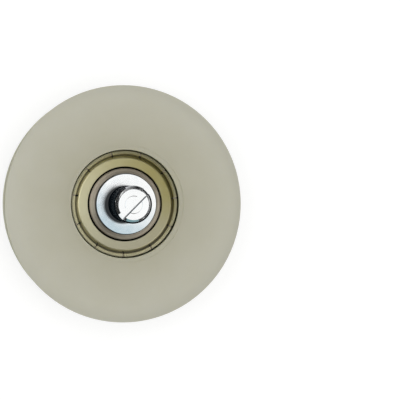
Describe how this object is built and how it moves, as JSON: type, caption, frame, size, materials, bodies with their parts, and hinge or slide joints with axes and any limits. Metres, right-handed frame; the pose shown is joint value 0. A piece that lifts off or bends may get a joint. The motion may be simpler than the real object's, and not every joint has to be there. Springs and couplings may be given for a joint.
{
  "type": "elevator door roller",
  "caption": "Grooved nylon elevator door roller on a shielded ball bearing, with a slotted, threaded steel stud and collar.",
  "frame": {"origin": "centre of the wheel's flat back face, on the wheel's axis", "axes": "+Z along the axis from the back face to the stud's tip; X and Y lie across the wheel, with the driver slot at 45 degrees between +X and +Y"},
  "size_m": [0.078, 0.078, 0.0414],
  "materials": {
    "nylon": "satin moulded nylon, greyish cream",
    "bearing_steel": "ground bearing steel",
    "shield_steel": "pressed sheet with a pale olive-gold tint",
    "ball_steel": "polished bearing steel",
    "cage_steel": "pressed sheet steel",
    "zinc_steel": "turned steel, bright zinc plate",
    "spring_steel": "phosphated spring steel"
  },
  "bodies": {
    "axle": {"stud": "zinc_steel", "bearing_inner_ring": "bearing_steel", "circlip": "spring_steel"},
    "wheel": {"wheel": "nylon", "bearing_outer_ring": "bearing_steel", "front_shield": "shield_steel", "back_shield": "shield_steel"},
    "cage": {"cage_front_half": "cage_steel", "cage_back_half": "cage_steel", "cage_rivet_1": "cage_steel", "cage_rivet_2": "cage_steel", "cage_rivet_3": "cage_steel", "cage_rivet_4": "cage_steel", "cage_rivet_5": "cage_steel", "cage_rivet_6": "cage_steel", "cage_rivet_7": "cage_steel", "cage_rivet_8": "cage_steel"},
    "ball_1": {"ball_1": "ball_steel"},
    "ball_2": {"ball_2": "ball_steel"},
    "ball_3": {"ball_3": "ball_steel"},
    "ball_4": {"ball_4": "ball_steel"},
    "ball_5": {"ball_5": "ball_steel"},
    "ball_6": {"ball_6": "ball_steel"},
    "ball_7": {"ball_7": "ball_steel"},
    "ball_8": {"ball_8": "ball_steel"}
  },
  "joints": [
    {"name": "wheel_spin", "type": "hinge", "parent": "axle", "child": "wheel", "pos_m": [0, 0, 0.015], "axis": [0, 0, 1], "continuous": true},
    {"name": "cage_spin", "type": "hinge", "parent": "axle", "child": "cage", "pos_m": [0, 0, 0.015], "axis": [0, 0, 1], "continuous": true},
    {"name": "ball_1_spin", "type": "hinge", "parent": "cage", "child": "ball_1", "pos_m": [0.01425, 0, 0.015], "axis": [0, 0, 1], "continuous": true},
    {"name": "ball_2_spin", "type": "hinge", "parent": "cage", "child": "ball_2", "pos_m": [0.01008, 0.01008, 0.015], "axis": [0, 0, 1], "continuous": true},
    {"name": "ball_3_spin", "type": "hinge", "parent": "cage", "child": "ball_3", "pos_m": [0, 0.01425, 0.015], "axis": [0, 0, 1], "continuous": true},
    {"name": "ball_4_spin", "type": "hinge", "parent": "cage", "child": "ball_4", "pos_m": [-0.01008, 0.01008, 0.015], "axis": [0, 0, 1], "continuous": true},
    {"name": "ball_5_spin", "type": "hinge", "parent": "cage", "child": "ball_5", "pos_m": [-0.01425, 0, 0.015], "axis": [0, 0, 1], "continuous": true},
    {"name": "ball_6_spin", "type": "hinge", "parent": "cage", "child": "ball_6", "pos_m": [-0.01008, -0.01008, 0.015], "axis": [0, 0, 1], "continuous": true},
    {"name": "ball_7_spin", "type": "hinge", "parent": "cage", "child": "ball_7", "pos_m": [0, -0.01425, 0.015], "axis": [0, 0, 1], "continuous": true},
    {"name": "ball_8_spin", "type": "hinge", "parent": "cage", "child": "ball_8", "pos_m": [0.01008, -0.01008, 0.015], "axis": [0, 0, 1], "continuous": true}
  ],
  "couplings": [
    {"joint": "cage_spin", "follows": "wheel_spin", "ratio": 0.61837},
    {"joint": "ball_1_spin", "follows": "wheel_spin", "ratio": 1.9937},
    {"joint": "ball_2_spin", "follows": "wheel_spin", "ratio": 1.9937},
    {"joint": "ball_3_spin", "follows": "wheel_spin", "ratio": 1.9937},
    {"joint": "ball_4_spin", "follows": "wheel_spin", "ratio": 1.9937},
    {"joint": "ball_5_spin", "follows": "wheel_spin", "ratio": 1.9937},
    {"joint": "ball_6_spin", "follows": "wheel_spin", "ratio": 1.9937},
    {"joint": "ball_7_spin", "follows": "wheel_spin", "ratio": 1.9937},
    {"joint": "ball_8_spin", "follows": "wheel_spin", "ratio": 1.9937}
  ]
}
